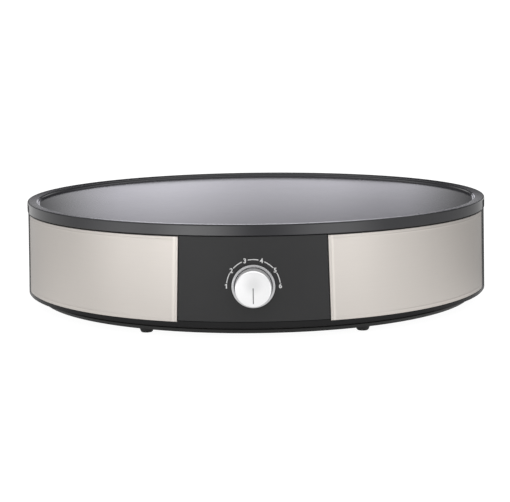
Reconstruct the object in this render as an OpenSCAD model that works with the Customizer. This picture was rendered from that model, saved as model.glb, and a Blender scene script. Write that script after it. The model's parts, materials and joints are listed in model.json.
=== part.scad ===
// Electric crepe maker: a round cast griddle with a raised rim on a low drum housing,
// steel trim panels, a front thermostat knob and four rubber feet.
// Millimetres. +Z is up, the front (knob) faces -Y, and the origin is where the
// griddle's axis meets the surface that the feet stand on.

/* [Griddle] */
// Outer diameter of the griddle plate
plate_d = 400; // [380:1:430]
// Height of the raised rim, from its underside to its crown
rim_h = 8.7; // [8.4:0.1:11]
// Width of the raised rim
rim_w = 9.1; // [7:0.1:9.6]
// Thickness of the plate inside the rim
plate_t = 6.0; // [3.8:0.1:6.2]
// Radius of the rim's rounded outer edge
rim_round = 1; // [0.8:0.1:2.4]
// How much the rim's crown slopes down towards the middle, in degrees
rim_tilt = 4.5; // [0:0.5:5]

/* [Housing] */
// Height of the drum from its bottom edge to its top edge
body_h = 69.8; // [64:0.1:80]
// How much further out the drum's bottom edge is than its top edge
body_draft = 1.3; // [0:0.1:2]
// How far the griddle overhangs the top edge of the drum
overhang = 0.5; // [0.4:0.1:3]
// Wall thickness of the drum
wall = 2.6; // [2.2:0.1:3.4]
// Gap between the drum and the griddle
shadow_gap = 0.3; // [0.3:0.1:2]

/* [Panels] */
// Half width of the front panel at its bottom edge
panel_bot = 58.3; // [50:0.1:66]
// Half width of the front panel at its top edge
panel_top = 56.2; // [50:0.1:66]
// Angle from the front at which the steel trim ends, in degrees
trim_end = 74.2; // [60:0.1:84]
// Thickness of the steel trim
trim_t = 0.7; // [0.5:0.1:1]
// Width of the groove between the steel trim and the panel
trim_gap = 0.9; // [0.6:0.1:1.5]

/* [Base] */
// Height of the rubber feet below the base pan
foot_h = 3.4; // [3:0.1:8]
// Height of the base pan's outer wall
base_h = 6.8; // [6.5:0.1:12]
// How far the base pan is set in from the drum's bottom edge
base_inset = 8.6; // [6:0.1:10]
// Distance of the feet from the axis
foot_r = 183.2; // [172:0.1:183.4]
// Angle of the feet from the front and from the rear, in degrees
foot_a = 27.6; // [20:0.1:33]

/* [Knob] */
// Outer diameter of the ring round the knob
ring_d = 33.3; // [32:0.1:37]
// Diameter of the knob at its foot
knob_d = 28.2; // [27.6:0.2:29.8]
// Diameter of the knob at its face
knob_face_d = 27.3; // [24:0.1:28.4]
// How far the knob's face stands out from the drum
knob_out = 13.6; // [11:0.2:18]
// Height of the knob's axis above the bottom of the feet
knob_z = 42.0; // [40:0.1:46]
// Diameter of the thermostat shaft
shaft_d = 6; // [5:0.1:6]

/* [Heating] */
// Radius of the outer turn of the heating element
turn_out = 135; // [130:1:140]
// Radius of the inner turn of the heating element
turn_in = 85; // [80:1:88]
// Diameter of the element's tube
tube_d = 8; // [6.5:0.5:8.5]
// Height of the heat shield's lip
shield_lip = 10; // [4:1:13]

/* [Cord gland] */
// Diameter of the hole for the mains cord
cord_hole_d = 7.2; // [6.4:0.1:8]
// How far the gland stands out behind the rear panel
gland_out = 10.6; // [8:0.1:14]

/* [Hidden] */
$fn = 96;
e = 0.05;                                   // clearance of a screw in its hole

R = plate_d / 2;
z_base = foot_h;                            // underside of the base pan
z_body = foot_h + base_h;                   // bottom edge of the drum
z_top = z_body + body_h;                    // top edge of the drum
z_plate = z_top + shadow_gap;               // underside of the griddle
z_cook = z_plate + plate_t;                 // cooking surface
z_rim = z_plate + rim_h;                    // crown of the rim
r_top = R - overhang;                       // drum radius at its top edge
r_bot = r_top + body_draft;                 // drum radius at its bottom edge
r_base = r_bot - base_inset;                // base pan radius
floor_t = 2.4;                              // base pan floor
z_floor = z_base + floor_t;
flange_t = 2.4;                             // drum's bottom flange
z_shield = z_plate - 19.1;                  // underside of the heat shield
shield_t = 0.8;
z_tube = z_plate - 4.4;                     // axis of the element's tube
y_br = R - 16.9;                            // inner face of the panel brackets
br_t = 1.5;
y_seat = r_at(knob_z) - 1.42;               // flat seat behind the dial ring
y_face = r_at(knob_z) + knob_out;           // front face of the knob
pillar_r = 110;
pillar_a = [45, 135, 225, 315];
screw_a = [0, 40, 140, 180, 220, 320];      // screws from the base pan into the drum
screw_r = r_base - 12.1;
post_x = 48;
post_z = [z_body + 13.2, z_top - 11.3];
turn_a0 = 110;                              // where the element's two ends are
turn_sweep = 320;

// Radius of the drum's outer surface at height z
function r_at(z) = r_bot - (z - z_body) * body_draft / body_h;

// Quarter round of a profile corner, centre c, radius r, from angle a0 to a1
function arc(c, r, a0, a1, n = 6) =
  [for (i = [0 : n]) let (a = a0 + (a1 - a0) * i / n) [c[0] + r * cos(a), c[1] + r * sin(a)]];

// Points on a smooth curve through p (Catmull-Rom), s steps a span
function pt(p, i) = p[max(0, min(len(p) - 1, i))];
function cr(a, b, c, d, t) =
  0.5 * (2 * b + (c - a) * t + (2 * a - 5 * b + 4 * c - d) * t * t
         + (3 * b - a - 3 * c + d) * t * t * t);
function smooth(p, s = 4) = concat(
  [for (i = [0 : len(p) - 2]) for (j = [0 : s - 1])
    cr(pt(p, i - 1), p[i], p[i + 1], pt(p, i + 2), j / s)],
  [p[len(p) - 1]]);
function unit(v) = v / norm(v);

// A round tube of radius r along the points p
module sweep(p, r, n = 8) {
  m = len(p);
  t = [for (i = [0 : m - 1]) unit(p[min(m - 1, i + 1)] - p[max(0, i - 1)])];
  u = [for (i = [0 : m - 1]) let (h = abs(t[i][2]) < 0.9 ? [0, 0, 1] : [0, 1, 0]) unit(cross(h, t[i]))];
  // carry the first frame along, so that the rings don't twist
  f = frames(t, 1, [u[0]]);
  pts = [for (i = [0 : m - 1]) let (a = f[i], b = cross(t[i], a))
    for (k = [0 : n - 1]) p[i] + r * (cos(360 * k / n) * a + sin(360 * k / n) * b)];
  sides = [for (i = [0 : m - 2]) for (k = [0 : n - 1]) each let (k2 = (k + 1) % n)
    [[i * n + k, (i + 1) * n + k, (i + 1) * n + k2], [i * n + k, (i + 1) * n + k2, i * n + k2]]];
  caps = [for (k = [1 : n - 2]) each [[0, k, k + 1], [(m - 1) * n, (m - 1) * n + k + 1, (m - 1) * n + k]]];
  polyhedron(points = pts, faces = concat(sides, caps), convexity = 6);
}
function frames(t, i, acc) = i >= len(t) ? acc :
  frames(t, i + 1, concat(acc, [unit(acc[i - 1] - (acc[i - 1] * t[i]) * t[i])]));

// A ring turned from the profile polygon p
module turned(p) { rotate_extrude($fn = 180) polygon(p); }

// A cylinder along Y from y0 to y1, seen at (x, z)
module ycyl(x, z, y0, y1, r, r2 = undef) {
  translate([x, min(y0, y1), z]) rotate([-90, 0, 0])
    cylinder(h = abs(y1 - y0), r1 = y0 < y1 ? r : (r2 == undef ? r : r2), r2 = y0 < y1 ? (r2 == undef ? r : r2) : r);
}
// A cylinder along Z from z0 to z1
module zcyl(x, y, z0, z1, r) { translate([x, y, z0]) cylinder(h = z1 - z0, r = r); }

// Wedge-sided window of the front panel, g wider on each side, from z0 to z1
module window(g, z0, z1, y0 = -R - 30, y1 = -R + 40) {
  s = (panel_bot - panel_top) / body_h;
  w0 = panel_bot - (z0 - z_body) * s + g;
  w1 = panel_bot - (z1 - z_body) * s + g;
  translate([0, y1, 0]) rotate([90, 0, 0]) linear_extrude(height = y1 - y0)
    polygon([[-w0, z0], [w0, z0], [w1, z1], [-w1, z1]]);
}

// Thin conical shell of the drum's surface, from z0 to z1, from depth d0 to d1 below the surface
module skin(z0, z1, d0, d1) {
  turned([[r_at(z0) - d1, z0], [r_at(z0) - d0, z0], [r_at(z1) - d0, z1], [r_at(z1) - d1, z1]]);
}
// The same shell from a0 to a1 degrees right of the front
module skin_sector(z0, z1, d0, d1, a0, a1) {
  rotate([0, 0, -90 + a0]) rotate_extrude(angle = a1 - a0, $fn = 180)
    polygon([[r_at(z0) - d1, z0], [r_at(z0) - d0, z0], [r_at(z1) - d0, z1], [r_at(z1) - d1, z1]]);
}
module four() { children(); mirror([1, 0, 0]) children(); mirror([0, 1, 0]) { children(); mirror([1, 0, 0]) children(); } }
module front_and_rear() { children(); rotate([0, 0, 180]) children(); }

// ---------------------------------------------------------------- griddle

// Centreline sections of the two-turn element: its profile is child 0, at the origin
module element_turns() {
  for (r = [turn_in, turn_out])
    rotate([0, 0, turn_a0]) translate([0, 0, z_tube])
      rotate_extrude(angle = turn_sweep, $fn = 180) translate([r, 0]) children();
}
module element_bend(more = 0) {
  rotate([0, 0, turn_a0 + turn_sweep]) translate([(turn_in + turn_out) / 2, 0, z_tube])
    rotate([0, 0, -more]) rotate_extrude(angle = 180 + 2 * more, $fn = 96)
      translate([(turn_out - turn_in) / 2, 0]) children();
}
module element_path() {
  element_turns() children();
  element_bend() children();
}
// The element's two ends, each with +Z along its pin, which points down
module element_ends() {
  for (r = [turn_in, turn_out]) rotate([0, 0, turn_a0]) translate([r, -10, z_tube - 10]) children();
}

strap_x = [-22, 22];
bulb_y = -108;
cut_x = -40; cut_y = 12;                    // safety cut-out
earth_x = 62; earth_y = -22;

module griddle_plate() {
  rr = rim_round; ri = 1.2;
  crown = (rim_w - ri - rr + (ri - rr) * sin(rim_tilt)) / cos(rim_tilt);   // length of the crown's straight slope
  ci = [R - rim_w + ri, z_rim - rr + (rr - ri) * cos(rim_tilt) - crown * sin(rim_tilt)];
  // fillet at the foot of the rim's inner wall, which leans 15 degrees
  rf = min(2, (ci[1] - z_cook - 0.1 + ri * sin(15)) / (1 - sin(15)));
  xf = ci[0] - (ri + rf) * cos(15) - (ci[1] - z_cook - rf + (ri + rf) * sin(15)) * tan(15);
  color("#3d3d40") difference() {
    union() {
      turned(concat(
        [[0, z_plate], [R - 0.4, z_plate], [R, z_plate + 0.4]],
        arc([R - rr, z_rim - rr], rr, 0, 90 + rim_tilt),
        arc(ci, ri, 90 + rim_tilt, 165, 5),
        arc([xf, z_cook + rf], rf, 345, 270, 6),
        [[0, z_cook]]));
      // cast land that holds the element
      element_path() translate([-8, 0.3]) square([16, z_plate - z_tube]);
      // pillars for the tie screws
      for (a = pillar_a) rotate([0, 0, a]) zcyl(pillar_r, 0, z_shield + shield_t, z_plate + 1, 7);
      // small bosses for the sensor straps, the cut-out's strap and the earth lead
      for (x = strap_x) zcyl(x, bulb_y + 10, z_plate - 4.9, z_plate + 1, 4);
      for (s = [-1, 1]) zcyl(cut_x + s * 13.5, cut_y, z_plate - 10.2, z_plate + 1, 4);
      zcyl(earth_x, earth_y, z_plate - 8, z_plate + 1, 4.5);
    }
    element_path() circle(tube_d / 2 + 2 * e, $fn = 48);
    for (a = pillar_a) rotate([0, 0, a]) zcyl(pillar_r, 0, z_shield, z_plate - 4, 2.5 + e);
    for (x = strap_x) zcyl(x, bulb_y + 10, z_plate - 6, z_plate + 1.4, 1.5 + e);
    for (s = [-1, 1]) zcyl(cut_x + s * 13.5, cut_y, z_plate - 11, z_plate - 1, 1.5 + e);
    zcyl(earth_x, earth_y, z_plate - 9, z_plate - 0.5, 2 + e);
  }
}

module heating_element() {
  color("#8d8f92") union() {
    element_turns() circle(tube_d / 2, $fn = 48);
    // the pressed bend is a hair thicker than the tube
    element_bend(1) circle(tube_d / 2 + 0.04, $fn = 48);
    for (r = [turn_in, turn_out]) rotate([0, 0, turn_a0]) {
      translate([r, 0, z_tube - 10])
        multmatrix([[0, 0, 1, 0], [0, -1, 0, 0], [1, 0, 0, 0], [0, 0, 0, 1]])
          rotate_extrude(angle = 90, $fn = 96) translate([10, 0]) circle(tube_d / 2, $fn = 48);
      zcyl(r, -10, z_tube - 19, z_tube - 10, tube_d / 2);
    }
  }
}

module element_seals() {
  color("#e6e0d2") element_ends() difference() {
    union() {
      translate([0, 0, -13]) cylinder(h = 4, r = 3.4);
      translate([0, 0, -15]) cylinder(h = 2, r = 2.6);
    }
    translate([0, 0, -16]) cylinder(h = 8, r = 1.3);
  }
}

module element_tabs() {
  color("#b9bcc0") element_ends() difference() {
    union() {
      translate([0, 0, -19]) cylinder(h = 10, r = 1.25);
      translate([-3.15, -0.4, -27]) cube([6.3, 0.8, 8.4]);
    }
    translate([0, -1, -24.5]) rotate([-90, 0, 0]) cylinder(h = 2, r = 0.9);
  }
}

shield_r = R - 32;
module heat_shield() {
  color("#a9acae") difference() {
    turned([[0, z_shield], [shield_r - 1.2, z_shield], [shield_r, z_shield + 1.2],
            [shield_r, z_shield + shield_lip], [shield_r - shield_t, z_shield + shield_lip],
            [shield_r - shield_t, z_shield + 1.6], [shield_r - 1.6, z_shield + shield_t], [0, z_shield + shield_t]]);
    for (a = pillar_a) rotate([0, 0, a]) zcyl(pillar_r, 0, z_shield - 1, z_shield + 2, 3.2);
    element_ends() translate([0, 0, -10]) cylinder(h = 8, r = 6);
    zcyl(32, -150, z_shield - 1, z_shield + 2, 4);
    zcyl(-56, 44, z_shield - 1, z_shield + 2, 8);
    zcyl(72, 6, z_shield - 1, z_shield + 2, 5);
  }
}

// ---------------------------------------------------------------- drum

module housing() {
  color("#2b2b2c") difference() {
    union() {
      turned([[screw_r - 5, z_body], [r_bot, z_body], [r_top, z_top], [R - 16, z_top], [R - 16, z_top - 2.2],
              [r_top - wall, z_top - 2.2], [r_at(z_body + flange_t) - wall, z_body + flange_t],
              [screw_r - 5, z_body + flange_t]]);
      for (a = screw_a) rotate([0, 0, a]) zcyl(screw_r, 0, z_body + 1, z_body + 12.2, 4);
    }
    // windows for the front and rear panels
    front_and_rear() intersection() {
      window(0.25, z_body + 4, z_top + 5, -R - 30, -R + 40);
      skin(z_body + 4, z_top + 5, -5, wall + 0.15);
    }
    front_and_rear() window(0.25, z_body + 4, z_top - 2.2, -R - 30, -R + 40);
    // recesses for the steel trims
    four() difference() {
      skin_sector(z_body + 3, z_top - 0.55, -1, trim_t + 0.1, 12, trim_end);
      window(0, z_body - 5, z_top + 5);
    }
    for (a = screw_a) rotate([0, 0, a]) zcyl(screw_r, 0, z_body - 1, z_body + 11.2, 1.75 + e);
  }
}

module trim_panel() {
  color("#c9c6c2") difference() {
    skin_sector(z_body + 3.15, z_top - 0.7, 0, trim_t, 10, trim_end - 0.05);
    window(trim_gap, z_body - 5, z_top + 5);
  }
}
module trim_front_right() { trim_panel(); }
module trim_front_left() { mirror([1, 0, 0]) trim_panel(); }
module trim_rear_right() { mirror([0, 1, 0]) trim_panel(); }
module trim_rear_left() { mirror([1, 0, 0]) mirror([0, 1, 0]) trim_panel(); }

// The shell and screw posts that the front and rear panels share
module panel_blank() {
  intersection() {
    skin(z_body + 4.4, z_top - 0.2, 0, wall - 0.2);
    window(0, z_body + 1, z_top + 1, -R - 30, -R + 30);
  }
  for (x = [-post_x, post_x], z = post_z) ycyl(x, z, -(y_br + br_t), -(R - 7.6), 3.5);
}
module post_holes() {
  for (x = [-post_x, post_x], z = post_z) ycyl(x, z, -y_br, -(R - 10.6), 1.7 + e);
}

module control_panel() {
  color("#333334") difference() {
    union() {
      panel_blank();
      ycyl(0, knob_z, -(R - 8), -(y_seat - 0.5), 7);
      ycyl(0, knob_z, -(y_seat - 2.6), -(y_seat - 0.2), ring_d / 2 + 1.4);
    }
    ycyl(0, knob_z, -y_seat, -(R + 20), ring_d / 2 + 0.12);
    ycyl(0, knob_z, -(R - 9), -(R + 1), shaft_d / 2 + 0.6);
    post_holes();
  }
}

y_gland = r_top - 1;                          // flat seat of the gland's flange
module rear_panel() {
  color("#333334") rotate([0, 0, 180]) difference() {
    union() {
      panel_blank();
      ycyl(0, knob_z, -(R - 8), -(y_gland - 0.2), 13);
    }
    ycyl(0, knob_z, -y_gland, -(R + 20), 11);
    ycyl(0, knob_z, -(R - 9), -(R + 1), 7.6);
    post_holes();
  }
}

// ---------------------------------------------------------------- base

block_x = -40; block_y = 150;
module base_pan() {
  color("#262626") difference() {
    union() {
      // the wall slopes in at its foot, and steps in under the drum
      turned([[0, z_base], [r_base - 3, z_base], [r_base, z_base + 3], [r_base, z_body - 3.4],
        [r_base - 0.6, z_body - 2.8], [r_base - 0.6, z_body],
        [r_base - 3.2, z_body], [r_base - 3.2, z_floor], [0, z_floor]]);
      for (a = pillar_a) rotate([0, 0, a]) zcyl(pillar_r, 0, z_base + 1, z_base + 16, 8);
      for (a = screw_a) rotate([0, 0, a]) zcyl(screw_r, 0, z_base + 1, z_body, 4.8);
      zcyl(block_x, block_y, z_base + 1, z_base + 9.1, 4.5);
      for (a = [22.5 : 45 : 359]) rotate([0, 0, a]) translate([95, -0.8, z_base + 1]) cube([r_base - 97.5, 1.6, base_h - 1.7]);
      translate([0, 0, z_base + 1]) difference() { cylinder(h = 4.6, r = 30); translate([0, 0, -1]) cylinder(h = 10, r = 28.4); }
    }
    for (a = pillar_a) rotate([0, 0, a]) {
      zcyl(pillar_r, 0, z_base - 1, z_base + 17, 2.65);
      zcyl(pillar_r, 0, z_base - 1, z_base + 5, 5);
    }
    for (a = screw_a) rotate([0, 0, a]) {
      zcyl(screw_r, 0, z_base - 1, z_body + 1, 1.9);
      zcyl(screw_r, 0, z_base - 1, z_base + 3, 3.7);
    }
    zcyl(block_x, block_y, z_floor - 0.4, z_base + 10.4, 1.5 + e);
    for (s = [-1, 1], t = [0, 180]) rotate([0, 0, -90 + t + s * foot_a]) zcyl(foot_r, 0, z_base - 1, z_base + 8, 3 + e);
    // cooling slots
    for (a = [0 : 15 : 359]) rotate([0, 0, a]) translate([48, -1.5, z_base - 1]) cube([38, 3, 5]);
  }
}

module rubber_feet() {
  color("#1d1d1d") for (s = [-1, 1], t = [0, 180]) rotate([0, 0, -90 + t + s * foot_a]) translate([foot_r, 0, 0])
    rotate_extrude($fn = 48) polygon([[0, 0], [4.1, 0], [4.7, 0.6], [5.8, foot_h], [3, foot_h], [3, z_floor],
      [4, z_floor], [3.4, z_floor + 1.8], [0, z_floor + 1.8]]);
}

module spacer_tubes() {
  color("#b3b5b8") for (a = pillar_a) rotate([0, 0, a]) difference() {
    zcyl(pillar_r, 0, z_base + 16, z_shield, 5.5);
    zcyl(pillar_r, 0, z_base + 15, z_shield + 1, 2.65);
  }
}

// A pan-head screw standing on its head's underside at z = 0, its shank up to z = h, with a cross recess
module pan_screw(h, shank_r, head_r, head_h) {
  difference() {
    union() {
      rotate_extrude($fn = 48) polygon([[0, -head_h], [head_r * 0.6, -head_h], [head_r * 0.92, -head_h * 0.6],
        [head_r, -head_h * 0.25], [head_r, 0], [shank_r, 0], [shank_r, h - shank_r * 0.6], [shank_r * 0.4, h], [0, h]]);
    }
    for (a = [0, 90]) rotate([0, 0, a]) translate([-head_r * 0.5, -head_r * 0.1, -head_h - 1]) cube([head_r, head_r * 0.2, 1 + head_h * 0.55]);
  }
}

module tie_screws() {
  color("#c2c4c6") for (a = pillar_a) rotate([0, 0, a]) translate([pillar_r, 0, z_base + 5]) pan_screw(z_plate - z_base - 10.5, 2.5, 4.6, 3.4);
}
module housing_screws() {
  color("#c2c4c6") for (a = screw_a) rotate([0, 0, a]) translate([screw_r, 0, z_base + 3]) pan_screw(z_body - z_base + 7, 1.75, 3.4, 2.2);
}

// ---------------------------------------------------------------- knob and thermostat

module dial_ring() {
  h = y_seat + 0.02; f = r_at(knob_z) + 1.7; ro = ring_d / 2; ri = knob_d / 2 + 0.3;
  color("#a7a8ab") translate([0, 0, knob_z]) rotate([90, 0, 0]) rotate_extrude($fn = 96)
    polygon(concat([[ri, h], [ro, h]], arc([ro - 0.7, f - 0.7], 0.7, 0, 90, 4), [[ri + 0.5, f], [ri, f - 0.5]]));
}

// Turned shape on the knob's axis: its profile points are [radius, distance from the drum's axis]
module on_knob() { translate([0, 0, knob_z]) rotate([90, 0, 0]) children(); }

knob_back = y_seat + 0.6;
module knob_body() {
  r0 = knob_d / 2; r1 = knob_face_d / 2 + 0.15; f = y_face - 1.2;
  color("#9c9da0") on_knob() difference() {
    rotate_extrude($fn = 96) polygon([[0, knob_back + 2], [3.9, knob_back + 2], [5, knob_back + 3], [5, f - 2],
      [r1 - 1.6, f - 2], [r0 - 1.6, knob_back], [r0, knob_back], [r1, f], [0, f]]);
    translate([0, 0, knob_back]) difference() {
      cylinder(h = y_face - knob_back - 4.2, r = shaft_d / 2 + e);
      translate([-4, shaft_d / 2 - 1.35, 0]) cube([8, 4, 30]);
    }
  }
}

module knob_cap() {
  r = knob_face_d / 2; f = y_face;
  color("#e3e3e4") on_knob() difference() {
    rotate_extrude($fn = 96) polygon([[0, f - 1.2], [r, f - 1.2], [r, f - 0.75], [r - 0.9, f], [0, f]]);
    // pointer groove, pointing down at rest
    translate([-0.35, -11.3, f - 0.35]) cube([0.7, 12.1, 1]);
  }
}

module knob_clip() {
  color("#8f9194") on_knob() translate([0, 0, knob_back + 4]) rotate([0, 0, -60]) rotate_extrude(angle = 300, $fn = 64)
    translate([5 + e, 0]) square([0.7, 3]);
}

module thermostat_shaft() {
  color("#b4b6b8") on_knob() difference() {
    union() {
      translate([0, 0, y_br - 8]) cylinder(h = y_face - y_br + 3.5, r = shaft_d / 2, $fn = 48);
      translate([0, 0, y_br + 7.2]) cylinder(h = 1.2, r = 4.4, $fn = 48);
    }
    translate([-4, shaft_d / 2 - 1.4, knob_back + 1]) cube([8, 4, 30]);
  }
}

can_w = 38; can_h = 30; can_d = 16;
module thermostat_can() {
  color("#b9bbbd") difference() {
    union() {
      translate([-can_w / 2, -y_br, knob_z - can_h / 2]) cube([can_w, can_d, can_h]);
      ycyl(0, knob_z, -y_br + 2, -y_br - 7, 5.3);
    }
    for (s = [-1, 1]) ycyl(s * 14, knob_z, -y_br - 1, -y_br + 7, 2 + e);
    ycyl(0, knob_z, -y_br + 8.5, -y_br - 8, shaft_d / 2 + e);
  }
}
module thermostat_base() {
  color("#e4dfd3") translate([-can_w / 2 + 2, -y_br + can_d, knob_z - can_h / 2 + 2]) difference() {
    cube([can_w - 4, 10, can_h - 4]);
    for (x = [7, can_w - 11]) translate([x - 3.6, 6, 8]) cube([7.2, 5, 10]);
  }
}
module thermostat_tabs() {
  color("#c8a24a") for (x = [-10, 10]) translate([x - 3.15, -y_br + can_d + 6, knob_z - 0.4]) cube([6.3, 12, 0.8]);
}

// Clamp plate whose ends bear on the drum's wall on both sides of a panel
module panel_plate(hole_r) {
  hw = sqrt(pow(r_top - wall, 2) - pow(y_br + br_t, 2)) - 0.4;
  difference() {
    translate([-hw, -(y_br + br_t), z_body + 6.2]) cube([2 * hw, br_t, body_h - 10.5]);
    ycyl(0, knob_z, -y_br + 1, -y_br - br_t - 1, hole_r);
    for (x = [-post_x, post_x], z = post_z) ycyl(x, z, -y_br + 1, -y_br - br_t - 1, 1.9);
  }
}
module thermostat_bracket() {
  color("#adafb1") difference() {
    panel_plate(5.4);
    for (x = [-14, 14]) ycyl(x, knob_z, -y_br + 1, -y_br - br_t - 1, 2.15);
  }
}
module rear_bracket() { color("#adafb1") rotate([0, 0, 180]) panel_plate(7); }

module y_screw(x, z, y, h, shank_r, head_r, head_h, inward) {
  translate([x, y, z]) rotate([inward ? -90 : 90, 0, 0]) pan_screw(h, shank_r, head_r, head_h);
}
module thermostat_screws() {
  color("#c2c4c6") for (x = [-14, 14]) y_screw(x, knob_z, -y_br - br_t, 8, 2, 3.8, 2.4, true);
}
module panel_screws() {
  color("#c2c4c6") front_and_rear() for (x = [-post_x, post_x], z = post_z) y_screw(x, z, -y_br, 6.2, 1.7, 3.2, 2, false);
}

// Route of the thermostat's capillary, from its can to the bulb under the griddle
capillary = [[19.2, -172, 47], [24, -172, 47.2], [29, -169.5, 49.5], [32, -162, 53.5], [32.5, -154, 57.5],
  [32, -149, 62.5], [32, -142, 66], [33.5, -132, 67], [38, -121, 68.2], [42.5, -113, 71.5],
  [43, -108.8, 75.6], [40, -108, 77.9], [34.3, -108, 77.95]];
module capillary_tube() { color("#b87345") translate([0, 0, z_plate - 80.3]) sweep(smooth(capillary, 4), 0.9, 8); }
module sensor_bulb() {
  color("#c07a4a") translate([-34, bulb_y, z_plate - 2.35]) rotate([0, 90, 0]) cylinder(h = 68, r = 2.25, $fn = 48);
}
module bulb_straps() {
  color("#adafb1") for (x = strap_x) difference() {
    translate([x - 4, bulb_y - 4, z_plate - 5.8]) cube([8, 18, 0.9]);
    zcyl(x, bulb_y + 10, z_plate - 7, z_plate - 4, 1.7);
  }
}
module strap_screws() {
  color("#c2c4c6") {
    for (x = strap_x) translate([x, bulb_y + 10, z_plate - 5.8]) pan_screw(6.4, 1.5, 2.8, 1.8);
    for (s = [-1, 1]) translate([cut_x + s * 13.5, cut_y, z_plate - 11.1]) pan_screw(9, 1.5, 2.8, 1.8);
  }
}
module thermal_cutout() {
  color("#d9d2c2") union() {
    zcyl(cut_x, cut_y, z_plate - 3.1, z_plate - 0.1, 8.6);
    zcyl(cut_x, cut_y, z_plate - 10.1, z_plate - 3.1, 7.6);
  }
}
module cutout_tabs() {
  color("#c8a24a") for (s = [-1, 1]) translate([cut_x - 3.15, s > 0 ? cut_y + 7.7 : cut_y - 16.7, z_plate - 8]) cube([6.3, 9, 0.8]);
}
module cutout_strap() {
  color("#adafb1") difference() {
    translate([cut_x - 18, cut_y - 4, z_plate - 11.1]) cube([36, 8, 0.9]);
    for (s = [-1, 1]) zcyl(cut_x + s * 13.5, cut_y, z_plate - 12, z_plate - 9, 1.7);
  }
}

// ---------------------------------------------------------------- wiring

module terminal_block() {
  z0 = z_base + 9.1;
  color("#e9e7e1") difference() {
    union() {
      translate([block_x - 17, block_y - 10, z0]) cube([34, 20, 7]);
      for (i = [-1, 0, 1]) translate([block_x + i * 11 - 4.6, block_y - 9, z0 + 6]) cube([9.2, 18, 10]);
    }
    for (i = [-1, 0, 1]) {
      translate([block_x + i * 11, block_y - 12, z0 + 8.5]) rotate([-90, 0, 0]) cylinder(h = 8, r = 2.2, $fn = 32);
      translate([block_x + i * 11, block_y + 4, z0 + 8.5]) rotate([-90, 0, 0]) cylinder(h = 8, r = 2.2, $fn = 32);
      zcyl(block_x + i * 11, block_y - 5.5, z0 + 9, z0 + 17, 1.9);
      zcyl(block_x + i * 11, block_y + 5.5, z0 + 9, z0 + 17, 1.9);
    }
    zcyl(block_x, block_y, z0 - 1, z0 + 8, 1.9);
    zcyl(block_x, block_y, z0 + 3, z0 + 17, 3.6);
  }
}
module terminal_screws() {
  z0 = z_base + 9.1;
  color("#c8a24a") for (i = [-1, 0, 1], s = [-1, 1]) translate([block_x + i * 11, block_y + s * 5.5, z0 + 11]) difference() {
    cylinder(h = 3.4, r = 1.8, $fn = 32);
    translate([-2, -0.25, 2.6]) cube([4, 0.5, 2]);
  }
}
module block_screw() {
  color("#c2c4c6") translate([block_x, block_y, z_base + 12.1]) rotate([180, 0, 0]) pan_screw(8, 1.5, 3, 2);
}
module earth_screw() {
  color("#c8a24a") translate([earth_x, earth_y, z_plate - 9.2]) pan_screw(8, 2, 3.8, 2.4);
}
module earth_ring() {
  color("#b9bcc0") difference() {
    union() {
      zcyl(earth_x, earth_y, z_plate - 9.2, z_plate - 8.1, 4.2);
      translate([earth_x - 1.6, earth_y + 3.5, z_plate - 9.2]) cube([3.2, 3, 1.1]);
      ycyl(earth_x, z_plate - 9.9, earth_y + 5.6, earth_y + 11.6, 1.9);
    }
    zcyl(earth_x, earth_y, z_plate - 10, z_plate - 8, 2 + e);
    ycyl(earth_x, z_plate - 9.9, earth_y + 6.4, earth_y + 12, 1.45);
  }
}
// A push-on connector: the tab goes into its far end along -Z, the lead into its barrel
module spade() {
  difference() {
    union() {
      translate([-3.8, -1.3, 0]) cube([7.6, 2.6, 8]);
      translate([0, 0, -6]) cylinder(h = 6.4, r = 1.9, $fn = 48);
    }
    translate([-3.2, -0.45, 0.8]) cube([6.4, 0.9, 8]);
    translate([0, 0, -7]) cylinder(h = 7.2, r = 1.45, $fn = 48);
  }
}
module spade_connectors() {
  color("#c9ccd0") {
    element_ends() translate([0, 0, -28]) spade();
    for (x = [-10, 10]) translate([x, -y_br + can_d + 19, knob_z]) rotate([90, 0, 0]) spade();
    translate([cut_x, cut_y + 17.7, z_plate - 7.6]) rotate([90, 0, 0]) spade();
    translate([cut_x, cut_y - 17.7, z_plate - 7.6]) rotate([-90, 0, 0]) spade();
  }
}

module cord_gland() {
  ye = r_top + 0.6 + gland_out;
  color("#1d1d1d") translate([0, 0, knob_z]) rotate([-90, 0, 0]) difference() {
    rotate_extrude($fn = 64) polygon([[0, R - 10], [8.2, R - 10], [9.2, R - 9], [9.2, R - 8.1], [7.5, R - 8.1], [7.5, y_gland],
      [10.4, y_gland], [10.4, y_gland + 1.6], [9.8, y_gland + 2.2], [7.4, y_gland + 2.2], [6.9, y_gland + 2.7],
      [6.6, ye - 0.9], [5.7, ye], [0, ye]]);
    translate([0, 0, R - 11]) cylinder(h = 40, r = cord_hole_d / 2);
  }
}

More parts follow.
